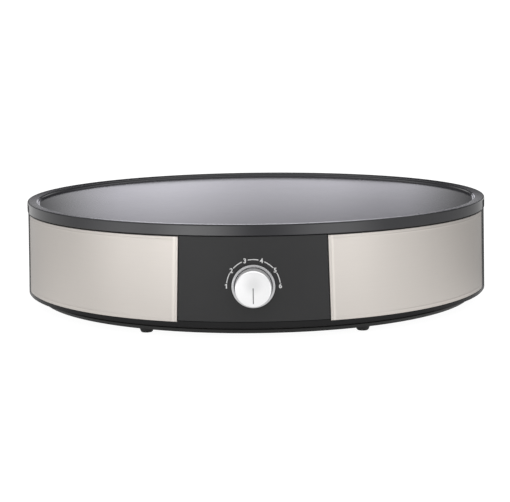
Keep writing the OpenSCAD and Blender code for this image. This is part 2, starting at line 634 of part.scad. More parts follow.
// Routes of the leads inside the housing
live = [[-51, 143.5, 21], [-51, 136, 21.2], [-52, 124, 25], [-55, 104, 34], [-57, 80, 44], [-57, 60, 52],
  [-57, 48, 59], [-56, 43, 64], [-52, 41, 69], [-45, 40.5, 72.2], [-40.6, 37.5, 72.7], [-40, 34, 72.7], [-40, 30.2, 72.7]];
cutout = [[-40, -6.2, 72.7], [-40, -10, 72.7], [-41.5, -14.5, 72.3], [-47, -18.5, 70], [-56, -16, 67], [-62.5, -4, 65.5],
  [-64.5, 12, 65], [-63, 28, 64.8], [-60.5, 37, 64.2], [-60, 41, 61.5], [-60.5, 42, 57], [-63, 40, 50], [-66, 28, 44],
  [-66, 4, 41], [-60, -36, 38], [-48, -78, 36.5], [-30, -112, 36], [-17, -128, 37], [-11, -137, 40],
  [-10, -142, knob_z - 0.2], [-10, -147.6, knob_z]];
heater = [[10, -147.6, knob_z], [10, -142, knob_z - 0.2], [12, -134, 39], [24, -116, 37], [38, -86, 36], [42, -40, 36], [30, 4, 37],
  [6, 50, 36], [-4, 88, 33], [-16, 112, 29], [-28, 122, 25], [-35, 127.5, 24.5], [-36.9, 130.3, 28.5],
  [-36.8, 130.3, 33], [-36.8, 130.3, 37.5]];
neutral = [[-40, 143.5, 21], [-40, 137, 20.6], [-40.5, 128, 17.5], [-38, 116, 16], [-32, 102, 16.5], [-25, 90, 19],
  [-20.6, 84.4, 24], [-19.7, 83.3, 30], [-19.7, 83.3, 37.5]];
earth = [[-29, 143.5, 21], [-29, 137, 20.6], [-26, 126, 18], [-14, 108, 18], [10, 84, 24], [38, 58, 34], [60, 34, 45],
  [70, 18, 53], [72, 7.5, 58.5], [71.5, 5, 63], [68.5, 1.5, 67], [63.6, -4.5, 70.2], [62, -9.5, 70.4], [62, -15.2, 70.4]];
module lead(p, c) { color(c) sweep(smooth(p, 4), 1.2, 8); }
module wire_live() { lead(live, "#7a4a2a"); }
module wire_cutout() { lead(cutout, "#7a4a2a"); }
module wire_heater() { lead(heater, "#222222"); }
module wire_neutral() { lead(neutral, "#2f5fae"); }
module wire_earth() { lead(earth, "#6f9a3a"); }

griddle_plate();
heating_element();
element_seals();
element_tabs();
heat_shield();
housing();
control_panel();
rear_panel();
trim_front_left();
trim_front_right();
trim_rear_left();
trim_rear_right();
base_pan();
rubber_feet();
dial_ring();
knob_body();
knob_cap();
knob_clip();
thermostat_shaft();
thermostat_can();
thermostat_base();
thermostat_tabs();
thermostat_bracket();
thermostat_screws();
capillary_tube();
sensor_bulb();
bulb_straps();
strap_screws();
thermal_cutout();
cutout_tabs();
cutout_strap();
rear_bracket();
panel_screws();
spacer_tubes();
tie_screws();
housing_screws();
terminal_block();
terminal_screws();
block_screw();
cord_gland();
earth_screw();
earth_ring();
spade_connectors();
wire_live();
wire_cutout();
wire_heater();
wire_neutral();
wire_earth();
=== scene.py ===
"""Looks of the electric crepe maker: materials, printed dial, finished outer skins, light and camera."""

import json
import math

import bmesh
import bpy
from mathutils import Matrix, Vector


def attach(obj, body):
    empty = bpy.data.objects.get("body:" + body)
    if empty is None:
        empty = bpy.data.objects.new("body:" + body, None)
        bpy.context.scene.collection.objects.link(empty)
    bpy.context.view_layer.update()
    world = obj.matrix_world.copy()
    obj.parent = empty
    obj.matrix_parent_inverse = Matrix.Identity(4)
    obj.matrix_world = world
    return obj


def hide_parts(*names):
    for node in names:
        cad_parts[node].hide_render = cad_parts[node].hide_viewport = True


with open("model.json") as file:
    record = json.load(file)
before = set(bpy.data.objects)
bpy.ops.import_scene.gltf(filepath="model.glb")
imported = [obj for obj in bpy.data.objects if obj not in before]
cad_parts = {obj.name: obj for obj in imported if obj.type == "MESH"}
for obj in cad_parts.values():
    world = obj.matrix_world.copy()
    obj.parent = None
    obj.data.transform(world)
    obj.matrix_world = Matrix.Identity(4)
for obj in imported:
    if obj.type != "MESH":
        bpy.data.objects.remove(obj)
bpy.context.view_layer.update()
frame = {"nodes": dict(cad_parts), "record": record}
N = frame["nodes"]
MM = 0.001

# ---------------------------------------------------------------- sizes, in mm, as in the CAD model
R = 200.0
Z_BODY, BODY_H = 10.2, 69.8
Z_TOP = Z_BODY + BODY_H
Z_PLATE = Z_TOP + 0.3
Z_COOK = Z_PLATE + 6.0
Z_RIM = Z_PLATE + 8.7
R_TOP, DRAFT = 199.5, 1.3
R_BOT = R_TOP + DRAFT
KNOB_Z = 42.0


def r_at(z):
    return R_BOT - (z - Z_BODY) * DRAFT / BODY_H


Y_SEAT = r_at(KNOB_Z) - 1.42
Y_FACE = r_at(KNOB_Z) + 13.6
KNOB_BACK = Y_SEAT + 0.6

# ---------------------------------------------------------------- material nodes


class Nodes:
    """A node tree, with short calls to add nodes."""

    def __init__(self, tree):
        self.t = tree
        self.t.nodes.clear()
        self.pos = None

    def node(self, kind, **props):
        n = self.t.nodes.new("ShaderNode" + kind)
        for k, v in props.items():
            setattr(n, k, v)
        return n

    def link(self, a, b):
        self.t.links.new(a, b)

    def position(self):
        """Where a point is on the object, in metres."""
        if self.pos is None:
            self.pos = self.node("TexCoord").outputs["Object"]
        return self.pos

    def math(self, op, a, b=None, c=None):
        n = self.node("Math", operation=op)
        for i, v in enumerate((a, b, c)):
            if v is None:
                continue
            if isinstance(v, bpy.types.NodeSocket):
                self.link(v, n.inputs[i])
            else:
                n.inputs[i].default_value = v
        return n.outputs[0]

    def xyz(self, vec=None):
        n = self.node("SeparateXYZ")
        self.link(vec or self.position(), n.inputs[0])
        return n.outputs

    def vec(self, x, y, z):
        n = self.node("CombineXYZ")
        for i, v in enumerate((x, y, z)):
            if isinstance(v, bpy.types.NodeSocket):
                self.link(v, n.inputs[i])
            else:
                n.inputs[i].default_value = v
        return n.outputs[0]

    def scaled(self, sx, sy, sz, vec=None):
        n = self.node("Mapping")
        self.link(vec or self.position(), n.inputs[0])
        n.inputs["Scale"].default_value = (sx, sy, sz)
        return n.outputs[0]

    def noise(self, vec, scale=1.0, detail=3.0, rough=0.55, dist=0.0):
        n = self.node("TexNoise")
        n.inputs["Scale"].default_value = scale
        n.inputs["Detail"].default_value = detail
        n.inputs["Roughness"].default_value = rough
        n.inputs["Distortion"].default_value = dist
        self.link(vec, n.inputs["Vector"])
        return n.outputs["Fac"]

    def voronoi(self, vec, scale=1.0):
        n = self.node("TexVoronoi")
        n.inputs["Scale"].default_value = scale
        self.link(vec, n.inputs["Vector"])
        return n.outputs["Distance"]

    def remap(self, v, a, b, c, d, smooth=False):
        n = self.node("MapRange")
        if smooth:
            n.interpolation_type = "SMOOTHSTEP"
        self.link(v, n.inputs[0])
        for i, x in enumerate((a, b, c, d)):
            n.inputs[i + 1].default_value = x
        return n.outputs[0]

    def mix(self, fac, a, b):
        n = self.node("Mix", data_type="RGBA")
        if isinstance(fac, bpy.types.NodeSocket):
            self.link(fac, n.inputs[0])
        else:
            n.inputs[0].default_value = fac
        for i, v in ((6, a), (7, b)):
            if isinstance(v, bpy.types.NodeSocket):
                self.link(v, n.inputs[i])
            else:
                n.inputs[i].default_value = (*v, 1.0)
        return n.outputs[2]

    def bump(self, height, distance, strength=1.0, normal=None):
        n = self.node("Bump")
        n.inputs["Strength"].default_value = strength
        n.inputs["Distance"].default_value = distance
        self.link(height, n.inputs["Height"])
        if normal is not None:
            self.link(normal, n.inputs["Normal"])
        return n.outputs[0]


class Mat(Nodes):
    """A material with one principled shader."""

    def __init__(self, name):
        self.m = bpy.data.materials.new(name)
        self.m.use_nodes = True
        super().__init__(self.m.node_tree)
        self.out = self.t.nodes.new("ShaderNodeOutputMaterial")
        self.b = self.t.nodes.new("ShaderNodeBsdfPrincipled")
        self.t.links.new(self.b.outputs[0], self.out.inputs[0])

    def set(self, **kw):
        for k, v in kw.items():
            s = self.b.inputs[k.replace("_", " ")]
            if isinstance(v, bpy.types.NodeSocket):
                self.t.links.new(v, s)
            elif s.type == "RGBA":
                s.default_value = (*v, 1.0) if len(v) == 3 else v
            else:
                s.default_value = v
        return self


def moulded(name, rgb, rough, grain=0.00035, depth=0.000012, vary=0.06, level=0.5):
    """Moulded plastic: a fine spark grain, slight shade variation, and a little polish here and there."""
    m = Mat(name)
    p = m.position()
    fine = m.noise(p, 1.0 / grain, 2.0, 0.6)
    wide = m.noise(p, 22.0, 3.0, 0.5)
    col = m.mix(m.remap(wide, 0.3, 0.7, 0.0, 1.0), [c * (1 - vary) for c in rgb], [c * (1 + vary) for c in rgb])
    m.set(Base_Color=col, Roughness=m.remap(wide, 0.3, 0.7, rough * 0.94, rough * 1.06), IOR=1.5,
          Specular_IOR_Level=level, Normal=m.bump(fine, depth))
    return m.m


def sheet_metal(name, rgb, rough, grain=0.0012):
    """Plain plated or mill-finish metal, faintly mottled."""
    m = Mat(name)
    p = m.position()
    a = m.noise(p, 1.0 / grain, 3.0, 0.6)
    b = m.noise(p, 40.0, 2.0, 0.5)
    col = m.mix(m.remap(a, 0.35, 0.65, 0.0, 1.0), [c * 0.92 for c in rgb], [min(1, c * 1.05) for c in rgb])
    m.set(Base_Color=col, Metallic=1.0, Roughness=m.remap(b, 0.3, 0.7, rough * 0.9, rough * 1.1),
          Normal=m.bump(a, 0.000008))
    return m.m


def coating():
    """Dark non-stick coating on the cast plate: satin, with the faint pebble of sprayed film."""
    m = Mat("griddle_coating")
    p = m.position()
    pebble = m.noise(p, 1500.0, 2.0, 0.5)
    film = m.noise(p, 260.0, 2.0, 0.5)
    wide = m.noise(p, 9.0, 2.0, 0.5)
    col = m.mix(m.remap(wide, 0.3, 0.7, 0.0, 1.0), (0.0135, 0.0135, 0.0175), (0.0170, 0.0170, 0.0215))
    h = m.math("ADD", m.math("MULTIPLY", pebble, 0.6), m.math("MULTIPLY", film, 0.4))
    # the sprayed film is a little coarser towards the rim
    x, y, z = m.xyz()
    rad = m.math("SQRT", m.math("ADD", m.math("MULTIPLY", x, x), m.math("MULTIPLY", y, y)))
    border = m.math("MULTIPLY", m.remap(rad, 0.135, 0.190, 0.0, 1.0, True), m.remap(rad, 0.1905, 0.1915, 1.0, 0.0))
    border = m.math("MULTIPLY", border, m.remap(y, 0.08, 0.18, 0.0, 1.0, True))
    rough = m.math("MULTIPLY_ADD", border, 0.14, m.remap(wide, 0.3, 0.7, 0.115, 0.130))
    m.set(Base_Color=col, Roughness=rough, IOR=1.5, Normal=m.bump(h, 0.000006))
    return m.m


def brushed_round(name, rgb, rough, aniso=0.75):
    """Steel brushed round the drum: long fine lines along it, which spread the light up and down."""
    m = Mat(name)
    x, y, z = m.xyz()
    # the azimuth, folded so that it doesn't jump behind
    ang = m.math("ABSOLUTE", m.math("ARCTAN2", x, m.math("MULTIPLY", y, -1.0)))
    side = m.math("MULTIPLY", m.math("SIGN", x), 31.7)
    v = m.vec(m.math("MULTIPLY", ang, 3.2), side, m.math("MULTIPLY", z, 6200.0))
    lines = m.noise(v, 1.0, 4.0, 0.7)
    v2 = m.vec(m.math("MULTIPLY", ang, 9.0), side, m.math("MULTIPLY", z, 1500.0))
    lines2 = m.noise(v2, 1.0, 2.0, 0.6)
    cloud = m.noise(m.position(), 11.0, 2.0, 0.5)
    t = m.math("ADD", m.math("MULTIPLY", lines, 0.65), m.math("MULTIPLY", lines2, 0.35))
    col = m.mix(m.remap(t, 0.3, 0.7, 0.0, 1.0), [c * 0.98 for c in rgb], [min(1.0, c * 1.02) for c in rgb])
    # painted highlight: the colour along the crest of the bead by the panel is painted brighter, standing in for the
    # light the bead catches
    side_d = m.math("SUBTRACT", m.math("ABSOLUTE", x), m.math("MULTIPLY_ADD", z, -0.0301, 0.0595))
    crest_highlight = m.math("MULTIPLY", m.remap(side_d, 0.0014, 0.0026, 0.0, 1.0, True), m.remap(side_d, 0.0030, 0.0046, 1.0, 0.0, True))
    col = m.mix(m.math("MULTIPLY", crest_highlight, 0.75), col, [min(1.0, c * 1.22) for c in rgb])
    m.set(Base_Color=col, Metallic=1.0, Specular_Tint=(0.75, 0.75, 0.75),
          Roughness=m.math("ADD", m.remap(t, 0.3, 0.7, rough * 0.97, rough * 1.03),
                                                          m.remap(cloud, 0.3, 0.7, -0.008, 0.008)),
          Anisotropic=aniso, Anisotropic_Rotation=0.25, Normal=m.bump(t, 0.0000012))
    tan = m.node("Tangent", direction_type="RADIAL", axis="Z")
    m.link(tan.outputs[0], m.b.inputs["Tangent"])
    return m.m


def turned_metal(name, rgb, rough, pitch=0.00018, metallic=1.0, depth=0.000003):
    """Metal turned on the knob's axis: fine rings round it."""
    m = Mat(name)
    x, y, z = m.xyz()
    zz = m.math("SUBTRACT", z, KNOB_Z * MM)
    rad = m.math("SQRT", m.math("ADD", m.math("MULTIPLY", x, x), m.math("MULTIPLY", zz, zz)))
    v = m.vec(m.math("MULTIPLY", rad, 1.0 / pitch), m.math("MULTIPLY", y, 1.0 / pitch), 0.0)
    rings = m.noise(v, 1.0, 3.0, 0.6)
    cloud = m.noise(m.position(), 160.0, 2.0, 0.5)
    col = m.mix(m.remap(rings, 0.3, 0.7, 0.0, 1.0), [c * 0.94 for c in rgb], [min(1.0, c * 1.04) for c in rgb])
    m.set(Base_Color=col, Metallic=metallic, Roughness=m.remap(cloud, 0.3, 0.7, rough * 0.92, rough * 1.08),
          Normal=m.bump(rings, depth))
    return m.m


def brushed_cap():
    """The knob's face: straight fine brushing along its pointer."""
    m = Mat("cap_metal")
    x, y, z = m.xyz()
    v = m.vec(m.math("MULTIPLY", x, 9000.0), 0.0, m.math("MULTIPLY", z, 160.0))
    lines = m.noise(v, 1.0, 3.0, 0.65)
    col = m.mix(m.remap(lines, 0.3, 0.7, 0.0, 1.0), (0.935, 0.935, 0.94), (0.985, 0.985, 0.99))
    # painted shade: the colour is darkened just above the middle, standing in for the darker sheen of the brushed face
    # there
    zz = m.math("SUBTRACT", z, (KNOB_Z + 3.0) * MM)
    rad = m.math("SQRT", m.math("ADD", m.math("MULTIPLY", x, x), m.math("MULTIPLY", zz, zz)))
    col = m.mix(m.remap(rad, 0.001, 0.0095, 0.86, 1.0, True), (0.0, 0.0, 0.0), col)
    m.set(Base_Color=col, Metallic=1.0, Roughness=m.remap(lines, 0.3, 0.7, 0.30, 0.36), Normal=m.bump(lines, 0.000003))
    return m.m


def rubber(name, rgb):
    m = Mat(name)
    p = m.position()
    a = m.noise(p, 1800.0, 3.0, 0.6)
    dust = m.noise(p, 300.0, 3.0, 0.6)
    col = m.mix(m.remap(dust, 0.45, 0.8, 0.0, 1.0), rgb, [c * 1.8 + 0.004 for c in rgb])
    m.set(Base_Color=col, Roughness=m.remap(a, 0.3, 0.7, 0.62, 0.76), Normal=m.bump(a, 0.00003))
    return m.m


def ceramic(name, rgb):
    m = Mat(name)
    p = m.position()
    a = m.noise(p, 1600.0, 3.0, 0.6)
    col = m.mix(m.remap(a, 0.3, 0.7, 0.0, 1.0), [c * 0.93 for c in rgb], rgb)
    m.set(Base_Color=col, Roughness=0.6, Normal=m.bump(a, 0.00002))
    return m.m


def ink(name, rgb):
    m = Mat(name)
    a = m.noise(m.position(), 2600.0, 3.0, 0.6)
    col = m.mix(m.remap(a, 0.3, 0.7, 0.0, 1.0), [c * 0.93 for c in rgb], rgb)
    m.set(Base_Color=col, Roughness=m.remap(a, 0.3, 0.7, 0.5, 0.6), Normal=m.bump(a, 0.000004))
    return m.m


MATS = {
    "griddle_coating": coating(),
    "trim_steel": brushed_round("trim_steel", (0.644, 0.605, 0.567), 0.38),
    "housing_black": moulded("housing_black", (0.022, 0.022, 0.0225), 0.24, level=0.05),
    "fascia_black": moulded("fascia_black", (0.038, 0.038, 0.0387), 0.45, grain=0.0003, depth=0.000004, level=0.18),
    "base_black": moulded("base_black", (0.016, 0.016, 0.0157), 0.55, grain=0.0005, depth=0.000015, level=0.25),
    "foot_rubber": rubber("foot_rubber", (0.010, 0.010, 0.010)),
    "ring_metal": turned_metal("ring_metal", (0.60, 0.60, 0.61), 0.34),
    "knob_silver": turned_metal("knob_silver", (0.55, 0.55, 0.555), 0.42, metallic=0.3),
    "cap_metal": brushed_cap(),
    "spring_steel": sheet_metal("spring_steel", (0.45, 0.45, 0.46), 0.32),
    "element_steel": sheet_metal("element_steel", (0.36, 0.35, 0.34), 0.5),
    "zinc_steel": sheet_metal("zinc_steel", (0.62, 0.63, 0.65), 0.34),
    "shield_aluminium": sheet_metal("shield_aluminium", (0.72, 0.72, 0.73), 0.38),
    "ceramic_white": ceramic("ceramic_white", (0.78, 0.75, 0.68)),
    "brass": sheet_metal("brass", (0.72, 0.53, 0.24), 0.34),
    "copper_tube": sheet_metal("copper_tube", (0.66, 0.34, 0.2), 0.36),
    "gland_black": moulded("gland_black", (0.014, 0.014, 0.014), 0.5, grain=0.0006, depth=0.00002),
    "block_white": moulded("block_white", (0.74, 0.73, 0.70), 0.45),
    "wire_brown": moulded("wire_brown", (0.16, 0.07, 0.035), 0.42),
    "wire_black": moulded("wire_black", (0.02, 0.02, 0.02), 0.42),
    "wire_blue": moulded("wire_blue", (0.03, 0.10, 0.36), 0.42),
    "wire_green": moulded("wire_green", (0.16, 0.34, 0.05), 0.42),
}
INK = ink("dial_ink", (0.72, 0.72, 0.72))
ENAMEL = ink("pointer_enamel", (0.05, 0.05, 0.052))

slots = {s["node"]: s["material_slot"] for s in frame["record"]["subparts"]}
for name, obj in N.items():
    obj.data.materials.clear()
    obj.data.materials.append(MATS[slots[name]])


def shade(obj, angle=35.0):
    """Smooth shading, with edges sharper than angle left sharp."""
    me = obj.data
    for p in me.polygons:
        p.use_smooth = True
    bm = bmesh.new()
    bm.from_mesh(me)
    lim = math.radians(angle)
    for e in bm.edges:
        e.smooth = len(e.link_faces) == 2 and e.calc_face_angle(0.0) < lim
    bm.to_mesh(me)
    bm.free()


def piece(name, bm, slot, body, replaces=(), mat=None, angle=35.0):
    """A finished mesh of the object, which rides on a body and may stand for CAD nodes."""
    me = bpy.data.meshes.new(name)
    bmesh.ops.recalc_face_normals(bm, faces=bm.faces)
    bm.to_mesh(me)
    bm.free()
    obj = bpy.data.objects.new(name, me)
    bpy.context.scene.collection.objects.link(obj)
    me.materials.append(mat or MATS[slot])
    shade(obj, angle)
    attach(obj, body)
    if replaces:
        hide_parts(*replaces)
    return obj


# ---------------------------------------------------------------- steel trims

PANEL_BOT, PANEL_SLOPE, TRIM_GAP = 58.3, 2.1 / BODY_H, 0.9
TRIM_Z0, TRIM_Z1, TRIM_END, TRIM_T = Z_BODY + 3.15, Z_TOP - 0.7, 74.15, 0.7
EDGE_R, BEAD_AT, BEAD_HALF, BEAD_H = 0.32, 2.55, 0.85, 0.13


def trim_height(d):
    """How far the trim's face stands at distance d from its edge: a rounded edge, then a low pressed bead."""
    h = 0.0
    if d < EDGE_R:
        h -= EDGE_R - math.sqrt(max(0.0, EDGE_R ** 2 - (EDGE_R - d) ** 2))
    if abs(d - BEAD_AT) < BEAD_HALF:
        h += BEAD_H * (0.5 + 0.5 * math.cos(math.pi * (d - BEAD_AT) / BEAD_HALF))
    return h


def inset(du, dv, r=2.0):
    """Distance from the edge, given those from the nearest side and end, with the bead's corners rounded."""
    if du >= r or dv >= r:
        # past the corner, the lines bend on a radius that grows with the distance
        s = r + 1.2
        if du < s and dv < s:
            return s - math.hypot(s - du, s - dv)
        return min(du, dv)
    s = r + 1.2
    return max(0.0, min(min(du, dv), s - math.hypot(s - du, s - dv) + 0.9))


NEAR_EDGE = (0.0, 0.03, 0.09, 0.18, 0.32, 0.8, 1.3, 1.7, 1.92, 2.13, 2.34, 2.55, 2.76, 2.97, 3.18, 3.4, 4.2)


def stations(length, step):
    """Places along a side: close together by both of its ends, and about step apart between."""
    inner = length - 2 * NEAR_EDGE[-1]
    n = max(2, round(inner / step))
    mid = [NEAR_EDGE[-1] + inner * i / n for i in range(1, n)]
    return list(NEAR_EDGE) + mid + [length - v for v in reversed(NEAR_EDGE)]


def trim(name, node, sx, sy):
    bm = bmesh.new()
    vs = stations(TRIM_Z1 - TRIM_Z0, 5.0)
    us = stations(200.0, 3.0)          # in 200ths of the row's own length where it isn't by an edge
    front, back = [], []
    for v in vs:
        z = TRIM_Z0 + v
        half = PANEL_BOT - (z - Z_BODY) * PANEL_SLOPE + TRIM_GAP
        r = r_at(z)
        a0, a1 = math.asin(half / r), math.radians(TRIM_END)
        length = r * (a1 - a0)
        dv = min(v, vs[-1] - v)
        frow, brow = [], []
        for u in us:
            edge = NEAR_EDGE[-1]
            if u <= edge:
                s = u
            elif u >= 200.0 - edge:
                s = length - (200.0 - u)
            else:
                s = edge + (u - edge) * (length - 2 * edge) / (200.0 - 2 * edge)
            du = min(s, length - s)
            h = trim_height(inset(du, dv) if du < 5 and dv < 5 else min(du, dv))
            a = a0 + s / r
            for row, rr in ((frow, r + h), (brow, r - TRIM_T)):
                row.append(bm.verts.new((sx * rr * math.sin(a) * MM, -sy * rr * math.cos(a) * MM, z * MM)))
        front.append(frow)
        back.append(brow)
    m, n = len(vs), len(us)
    for i in range(m - 1):
        for j in range(n - 1):
            bm.faces.new((front[i][j], front[i][j + 1], front[i + 1][j + 1], front[i + 1][j]))
            bm.faces.new((back[i][j], back[i + 1][j], back[i + 1][j + 1], back[i][j + 1]))
    ring = [(0, j) for j in range(n)] + [(i, n - 1) for i in range(1, m)] \
        + [(m - 1, j) for j in range(n - 2, -1, -1)] + [(i, 0) for i in range(m - 2, 0, -1)]
    for k, (i, j) in enumerate(ring):
        i2, j2 = ring[(k + 1) % len(ring)]
        bm.faces.new((front[i][j], back[i][j], back[i2][j2], front[i2][j2]))
    return piece(name, bm, "trim_steel", "cooker", (node,), angle=50.0)


trim("steel_front_right", "trim_front_right", 1, 1)
trim("steel_front_left", "trim_front_left", -1, 1)
trim("steel_rear_right", "trim_rear_right", 1, -1)
trim("steel_rear_left", "trim_rear_left", -1, -1)

# ---------------------------------------------------------------- printed dial

PRINT_R, PRINT_H = 20.4, 0.05


def on_fascia(x, z, h):
    """The point of the front panel seen at (x, z), h mm proud of its surface, in metres."""
    return Vector((x, -math.sqrt((r_at(z) + h) ** 2 - x * x), z)) * MM


def dial_arcs():
    bm = bmesh.new()
    for mid in (162, 126, 90, 54, 18):
        outline = []
        n, half, w = 18, 10.6, 0.36
        for i in range(n + 1):
            a = math.radians(mid - half + 2 * half * i / n)
            outline.append((a, PRINT_R - w, PRINT_R + w))
        top, bot = [], []
        for a, r0, r1 in outline:
            for row, h in ((top, PRINT_H), (bot, -0.03)):
                row.append([bm.verts.new(on_fascia(r * math.cos(a), KNOB_Z + r * math.sin(a), h)) for r in (r0, r1)])
        # half-round ends
        for end, s in ((0, -1), (n, 1)):
            a = outline[end][0]
            cx, cz = PRINT_R * math.cos(a), PRINT_R * math.sin(a)
            caps = []
            for h in (PRINT_H, -0.03):
                pts = []
                for k in range(1, 6):
                    t = math.pi * k / 6
                    rad, tan = -w * math.cos(t), s * w * math.sin(t)
                    pts.append(bm.verts.new(on_fascia(cx + rad * math.cos(a) - tan * math.sin(a),
                                                      KNOB_Z + cz + rad * math.sin(a) + tan * math.cos(a), h)))
                caps.append(pts)
            t0, b0 = top[end], bot[end]
            tl = [t0[0], *caps[0], t0[1]]
            bl = [b0[0], *caps[1], b0[1]]
            bm.faces.new(tl)
            bm.faces.new(bl)
            for k in range(len(tl) - 1):
                bm.faces.new((tl[k], tl[k + 1], bl[k + 1], bl[k]))
        for i in range(n):
            bm.faces.new((top[i][0], top[i + 1][0], top[i + 1][1], top[i][1]))
            bm.faces.new((bot[i][0], bot[i][1], bot[i + 1][1], bot[i + 1][0]))
            for k in (0, 1):
                bm.faces.new((top[i][k], bot[i][k], bot[i + 1][k], top[i + 1][k]))
    return piece("dial_arcs", bm, None, "cooker", mat=INK, angle=30.0)


def dial_numbers():
    bm = bmesh.new()
    # the 1 is a plain stem with a flag
    one = [(-0.40, -1.78), (0.50, -1.78), (0.50, 1.78), (-0.25, 1.78), (-1.25, 1.08), (-0.98, 0.42), (-0.40, 0.78)]
    tops = [bm.verts.new(on_fascia(x - PRINT_R - 0.1, z + KNOB_Z, PRINT_H)) for x, z in one]
    bots = [bm.verts.new(on_fascia(x - PRINT_R - 0.1, z + KNOB_Z, -0.03)) for x, z in one]
    k = len(one)
    for row in (tops, bots):
        bmesh.ops.triangulate(bm, faces=[bm.faces.new(row)])
    for i in range(k):
        bm.faces.new((tops[i], tops[(i + 1) % k], bots[(i + 1) % k], bots[i]))
    for text, deg in zip("23456", (144, 108, 72, 36, 0)):
        cu = bpy.data.curves.new("figure", "FONT")
        cu.body = text
        cu.size = 4.95
        cu.offset = 0.15
        cu.resolution_u = 6
        cu.align_x = "CENTER"
        tmp = bpy.data.objects.new("figure", cu)
        scene_link(tmp)
        bpy.context.view_layer.update()
        me = bpy.data.meshes.new_from_object(tmp.evaluated_get(bpy.context.evaluated_depsgraph_get()))
        one = bmesh.new()
        one.from_mesh(me)
        bmesh.ops.remove_doubles(one, verts=one.verts, dist=0.0005)
        xs = [v.co.x for v in one.verts]
        ys = [v.co.y for v in one.verts]
        cx, cy = (min(xs) + max(xs)) / 2, (min(ys) + max(ys)) / 2
        px = (PRINT_R + 0.1) * math.cos(math.radians(deg))
        pz = KNOB_Z + (PRINT_R + 0.1) * math.sin(math.radians(deg))
        flat = [(v.co.x - cx + px, v.co.y - cy + pz) for v in one.verts]
        one.verts.ensure_lookup_table()
        one.verts.index_update()
        tops = [bm.verts.new(on_fascia(x, z, PRINT_H)) for x, z in flat]
        bots = [bm.verts.new(on_fascia(x, z, -0.03)) for x, z in flat]
        for f in one.faces:
            idx = [v.index for v in f.verts]
            bm.faces.new([tops[i] for i in idx])
            bm.faces.new([bots[i] for i in reversed(idx)])
        for e in one.edges:
            if len(e.link_faces) == 1:
                i, j = e.verts[0].index, e.verts[1].index
                bm.faces.new((tops[i], tops[j], bots[j], bots[i]))
        one.free()
        bpy.data.objects.remove(tmp)
        bpy.data.meshes.remove(me)
        bpy.data.curves.remove(cu)
    return piece("dial_numbers", bm, None, "cooker", mat=INK, angle=30.0)


def scene_link(obj):
    bpy.context.scene.collection.objects.link(obj)


dial_arcs()
dial_numbers()

# ---------------------------------------------------------------- knob face

FACE_R, DOME = 13.65, 0.42
POINT_TOP, POINT_END, POINT_HALF, POINT_DEPTH = 0.8, -11.3, 0.32, 0.28


def knob_face():
    """The knob's metal face: slightly domed, with a bright turned chamfer and a groove for the pointer."""
    f = Y_FACE
    prof = [(FACE_R - 2.2, f - 1.2), (FACE_R - 0.06, f - 1.2), (FACE_R, f - 1.14), (FACE_R, f - 1.0)]
    prof += [(FACE_R - 0.05, f - 0.93), (FACE_R - 0.72, f - 0.47), (FACE_R - 0.82, f - 0.425)]
    rings = 22
    face_r = FACE_R - 0.95
    for i in range(rings):
        r = face_r * (1 - i / rings)
        prof.append((r, f - DOME * (r / FACE_R) ** 2))
    seg = 128
    bm = bmesh.new()
    loops = [[bm.verts.new(Vector((r * math.sin(2 * math.pi * k / seg), -y, KNOB_Z + r * math.cos(2 * math.pi * k / seg))) * MM)
              for k in range(seg)] for r, y in prof]
    for a, b in zip(loops, loops[1:]):
        for k in range(seg):
            bm.faces.new((a[k], a[(k + 1) % seg], b[(k + 1) % seg], b[k]))
    back = bm.verts.new(Vector((0, -(f - 1.2), KNOB_Z)) * MM)
    tip = bm.verts.new(Vector((0, -f, KNOB_Z)) * MM)
    for k in range(seg):
        bm.faces.new((back, loops[0][(k + 1) % seg], loops[0][k]))
        bm.faces.new((tip, loops[-1][k], loops[-1][(k + 1) % seg]))
    bmesh.ops.recalc_face_normals(bm, faces=bm.faces)
    obj = piece("knob_face", bm, "cap_metal", "knob", ("knob_cap",), angle=20.0)
    # the groove
    cutter = bpy.data.meshes.new("cutter")
    cb = bmesh.new()
    outline = stadium(POINT_HALF, POINT_TOP, POINT_END, 10)
    lo = [cb.verts.new(Vector((x, -(f - DOME * (z / FACE_R) ** 2 - POINT_DEPTH), KNOB_Z + z)) * MM) for x, z in outline]
    hi = [cb.verts.new(Vector((x, -(f + 1), KNOB_Z + z)) * MM) for x, z in outline]
    n = len(outline)
    for k in range(n):
        cb.faces.new((lo[k], lo[(k + 1) % n], hi[(k + 1) % n], hi[k]))
    cb.faces.new(lo)
    cb.faces.new(hi)
    bmesh.ops.triangulate(cb, faces=[fc for fc in cb.faces if len(fc.verts) > 4])
    bmesh.ops.recalc_face_normals(cb, faces=cb.faces)
    cb.to_mesh(cutter)
    cb.free()
    co = bpy.data.objects.new("cutter", cutter)
    scene_link(co)
    md = obj.modifiers.new("groove", "BOOLEAN")
    md.operation, md.object, md.solver = "DIFFERENCE", co, "EXACT"
    bpy.context.view_layer.update()
    done = bpy.data.meshes.new_from_object(obj.evaluated_get(bpy.context.evaluated_depsgraph_get()))
    obj.modifiers.clear()
    old, obj.data = obj.data, done
    bpy.data.meshes.remove(old)
    bpy.data.objects.remove(co)
    bpy.data.meshes.remove(cutter)
    obj.data.name = "knob_face"
    shade(obj, 20.0)
    return obj


def stadium(half, top, end, n):
    """Outline of a slot with round ends, from height top down to end."""
    pts = []
    for k in range(n + 1):
        t = math.pi * k / n
        pts.append((half * math.cos(t), top - half + half * math.sin(t)))
    for k in range(n + 1):
        t = math.pi * k / n
        pts.append((-half * math.cos(t), end + half - half * math.sin(t)))
    return pts


